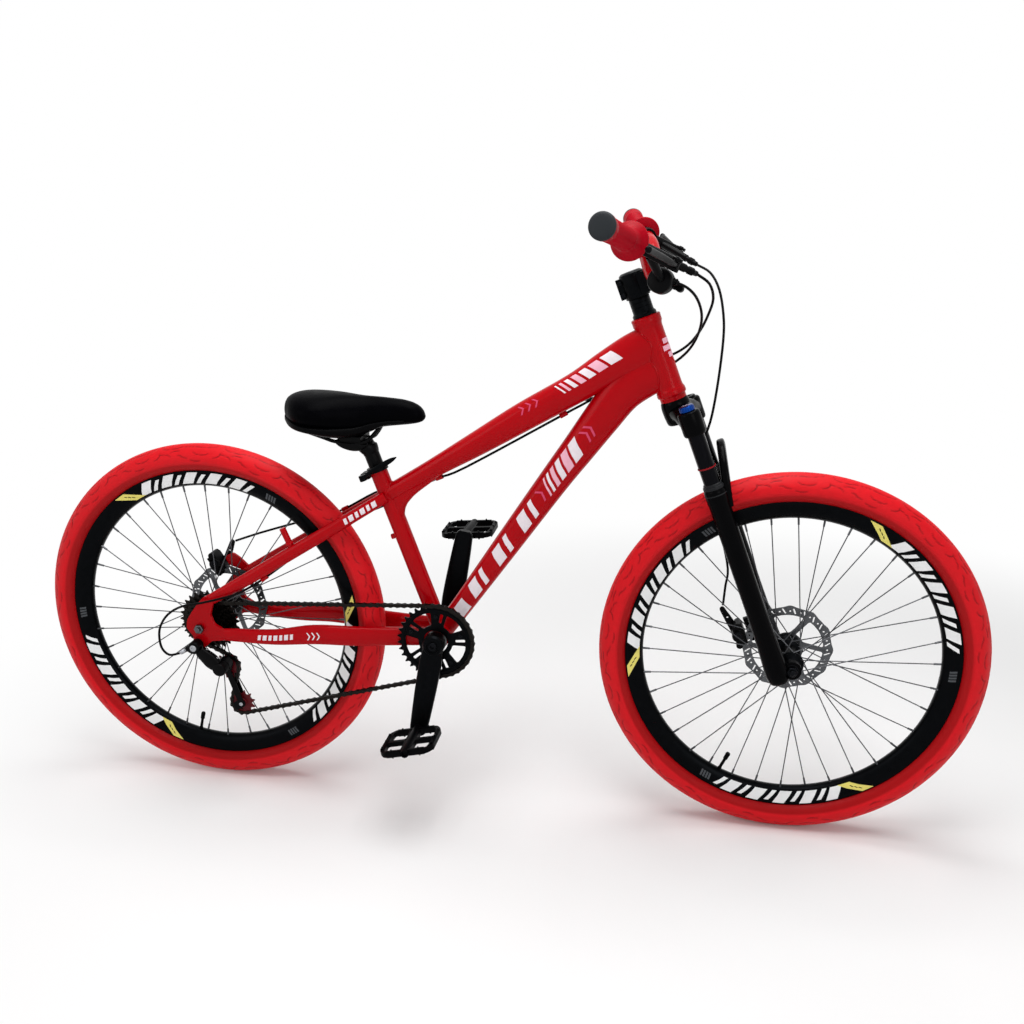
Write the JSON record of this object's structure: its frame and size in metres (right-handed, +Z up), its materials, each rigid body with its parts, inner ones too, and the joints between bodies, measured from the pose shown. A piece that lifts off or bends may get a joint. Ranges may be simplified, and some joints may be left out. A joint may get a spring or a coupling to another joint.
{
  "type": "freeride bicycle",
  "caption": "Hardtail freeride bicycle with a sprung fork, cable disc brakes, derailleur drive, platform pedals and wide red tyres.",
  "frame": {"origin": "on the ground, midway between the two wheel axles and in the wheels' plane", "axes": "+X towards the front wheel, +Y to the rider's left, +Z up"},
  "size_m": [1.741, 0.7136, 1.0897],
  "materials": {
    "frame_paint": "gloss",
    "fork_paint": "gloss",
    "stanchion_coat": "polished, dark coated",
    "black_alloy": "black anodised",
    "silver_steel": "brushed",
    "dark_steel": "dark",
    "tyre_rubber": "matte red",
    "grip_rubber": "matte red",
    "black_plastic": "matte",
    "red_plastic": "matte",
    "cable_sheath": "satin",
    "saddle_cover": "satin",
    "blue_anodised": "anodised"
  },
  "bodies": {
    "frame": {"head_tube": "frame_paint", "top_tube": "frame_paint", "down_tube": "frame_paint", "seat_tube": "frame_paint", "chainstay_right": "frame_paint", "chainstay_left": "frame_paint", "seatstay_right": "frame_paint", "seatstay_left": "frame_paint", "seat_clamp_collar": "black_alloy", "rear_axle": "dark_steel", "rear_caliper": "black_alloy", "rear_brake_cable": "cable_sheath", "shift_cable": "cable_sheath", "derailleur_body": "black_alloy", "chain": "dark_steel"},
    "seat": {"seatpost": "black_alloy", "saddle_rails": "dark_steel", "saddle_pad": "saddle_cover"},
    "seat_clamp_lever": {"seat_clamp_lever": "black_alloy"},
    "steering": {"fork_crown": "fork_paint", "stanchion_right": "stanchion_coat", "stanchion_left": "stanchion_coat", "headset_spacers": "black_alloy", "stem": "black_alloy", "stem_faceplate": "black_alloy", "handlebar": "frame_paint", "grip_right": "grip_rubber", "grip_left": "grip_rubber", "brake_lever_bracket_right": "black_alloy", "brake_lever_bracket_left": "black_alloy", "front_brake_cable": "cable_sheath"},
    "preload_knob": {"preload_knob": "blue_anodised"},
    "brake_lever_right": {"brake_lever_right": "black_alloy"},
    "brake_lever_left": {"brake_lever_left": "black_alloy"},
    "shift_lever": {"shift_lever": "black_plastic"},
    "lowers": {"fork_lowers": "fork_paint", "front_caliper": "black_alloy", "front_axle": "dark_steel"},
    "front_caliper_arm": {"front_caliper_arm": "black_alloy"},
    "rear_caliper_arm": {"rear_caliper_arm": "black_alloy"},
    "front_wheel": {"front_tyre": "tyre_rubber", "front_rim": "black_alloy", "front_hub_and_spokes": "black_alloy", "front_rotor": "silver_steel"},
    "rear_wheel": {"rear_tyre": "tyre_rubber", "rear_rim": "black_alloy", "rear_hub_and_spokes": "black_alloy", "rear_rotor": "silver_steel"},
    "freewheel": {"freewheel": "dark_steel"},
    "crankset": {"chainring": "black_alloy", "crank_arm_right": "black_alloy", "crank_arm_left": "black_alloy", "bottom_bracket_axle": "dark_steel"},
    "pedal_right": {"pedal_right": "black_plastic"},
    "pedal_left": {"pedal_left": "black_plastic"},
    "derailleur_link": {"derailleur_link": "black_alloy"},
    "derailleur_knuckle": {"derailleur_knuckle": "black_alloy"},
    "derailleur_cage": {"derailleur_cage": "black_alloy"},
    "guide_pulley": {"guide_pulley": "red_plastic"},
    "tension_pulley": {"tension_pulley": "red_plastic"}
  },
  "joints": [
    {"name": "seatpost_slide", "type": "slide", "parent": "frame", "child": "seat", "axis": [-0.3502, 0, 0.9367], "range_m": [-0.02, 0.08]},
    {"name": "seat_clamp_lever_pivot", "type": "hinge", "parent": "frame", "child": "seat_clamp_lever", "pos_m": [-0.22851, -0.0205, 0.62538], "axis": [0.3502, 0, -0.9367], "range_deg": [0, 150]},
    {"name": "steering_pivot", "type": "hinge", "parent": "frame", "child": "steering", "pos_m": [0.28382, 0, 0.85386], "axis": [-0.3665, 0, 0.9304], "range_deg": [-75, 75], "deforming": ["rear_brake_cable", "shift_cable"]},
    {"name": "preload_knob_turn", "type": "hinge", "parent": "steering", "child": "preload_knob", "pos_m": [0.33312, -0.062, 0.78192], "axis": [-0.3665, 0, 0.9304], "range_deg": [0, 270]},
    {"name": "brake_lever_right_pivot", "type": "hinge", "parent": "steering", "child": "brake_lever_right", "pos_m": [0.3045, -0.19, 1.0155], "axis": [-0.4031, 0, -0.9152], "range_deg": [0, 11], "stiffness_Nm_per_rad": 1.5, "springref_deg": -11.46, "deforming": ["rear_brake_cable"]},
    {"name": "brake_lever_left_pivot", "type": "hinge", "parent": "steering", "child": "brake_lever_left", "pos_m": [0.3045, 0.19, 1.0155], "axis": [0.4031, 0, 0.9152], "range_deg": [0, 11], "stiffness_Nm_per_rad": 1.5, "springref_deg": -11.46, "deforming": ["front_brake_cable"]},
    {"name": "shift_lever_pivot", "type": "hinge", "parent": "steering", "child": "shift_lever", "pos_m": [0.2845, -0.14, 0.988], "axis": [0.211, 0.9625, -0.1703], "range_deg": [-60, 60], "deforming": ["chain", "shift_cable"]},
    {"name": "fork_slide", "type": "slide", "parent": "steering", "child": "lowers", "axis": [-0.3665, 0, 0.9304], "range_m": [0, 0.08], "stiffness_N_per_m": 8000, "springref_m": -0.03, "deforming": ["front_brake_cable"]},
    {"name": "front_caliper_arm_pivot", "type": "hinge", "parent": "lowers", "child": "front_caliper_arm", "pos_m": [0.4444, 0.0635, 0.35071], "axis": [0, 1, 0], "range_deg": [0, 11], "deforming": ["front_brake_cable"]},
    {"name": "rear_caliper_arm_pivot", "type": "hinge", "parent": "frame", "child": "rear_caliper_arm", "pos_m": [-0.5475, 0.0775, 0.41], "axis": [0, 1, 0], "range_deg": [0, 11], "deforming": ["rear_brake_cable"]},
    {"name": "front_wheel_spin", "type": "hinge", "parent": "lowers", "child": "front_wheel", "pos_m": [0.5355, 0, 0.335], "axis": [0, 1, 0], "continuous": true},
    {"name": "rear_wheel_spin", "type": "hinge", "parent": "frame", "child": "rear_wheel", "pos_m": [-0.5355, 0, 0.335], "axis": [0, 1, 0], "continuous": true},
    {"name": "crank_spin", "type": "hinge", "parent": "frame", "child": "crankset", "pos_m": [-0.0925, 0, 0.333], "axis": [0, 1, 0], "continuous": true, "deforming": ["chain"]},
    {"name": "freewheel_spin", "type": "hinge", "parent": "frame", "child": "freewheel", "pos_m": [-0.5355, -0.0475, 0.335], "axis": [0, 1, 0], "continuous": true, "deforming": ["chain"]},
    {"name": "pedal_right_spin", "type": "hinge", "parent": "crankset", "child": "pedal_right", "pos_m": [-0.11924, -0.132, 0.17322], "axis": [0, 1, 0], "continuous": true},
    {"name": "pedal_left_spin", "type": "hinge", "parent": "crankset", "child": "pedal_left", "pos_m": [-0.06576, 0.132, 0.49278], "axis": [0, 1, 0], "continuous": true},
    {"name": "derailleur_link_pivot", "type": "hinge", "parent": "frame", "child": "derailleur_link", "pos_m": [-0.52732, -0.087, 0.29036], "axis": [0.6654, 0, 0.7465], "range_deg": [-20, 20], "deforming": ["chain"]},
    {"name": "derailleur_knuckle_pivot", "type": "hinge", "parent": "derailleur_link", "child": "derailleur_knuckle", "pos_m": [-0.50791, -0.087, 0.27306], "axis": [0.6654, 0, 0.7465], "range_deg": [-20, 20], "deforming": ["chain"]},
    {"name": "derailleur_cage_pivot", "type": "hinge", "parent": "derailleur_knuckle", "child": "derailleur_cage", "pos_m": [-0.4955, -0.056, 0.262], "axis": [0, 1, 0], "range_deg": [-28, 18], "stiffness_Nm_per_rad": 1, "deforming": ["chain"]},
    {"name": "guide_pulley_spin", "type": "hinge", "parent": "derailleur_cage", "child": "guide_pulley", "pos_m": [-0.4985, -0.0475, 0.25], "axis": [0, 1, 0], "continuous": true, "deforming": ["chain"]},
    {"name": "tension_pulley_spin", "type": "hinge", "parent": "derailleur_cage", "child": "tension_pulley", "pos_m": [-0.4735, -0.0475, 0.176], "axis": [0, 1, 0], "continuous": true, "deforming": ["chain"]}
  ],
  "couplings": [
    {"joint": "freewheel_spin", "follows": "crank_spin", "ratio": 1.7},
    {"joint": "guide_pulley_spin", "follows": "crank_spin", "ratio": -3.0909},
    {"joint": "tension_pulley_spin", "follows": "crank_spin", "ratio": 3.0909},
    {"joint": "rear_caliper_arm_pivot", "follows": "brake_lever_right_pivot", "ratio": 1},
    {"joint": "front_caliper_arm_pivot", "follows": "brake_lever_left_pivot", "ratio": 1},
    {"joint": "derailleur_link_pivot", "follows": "shift_lever_pivot", "ratio": 0.3333},
    {"joint": "derailleur_knuckle_pivot", "follows": "shift_lever_pivot", "ratio": -0.3333}
  ]
}
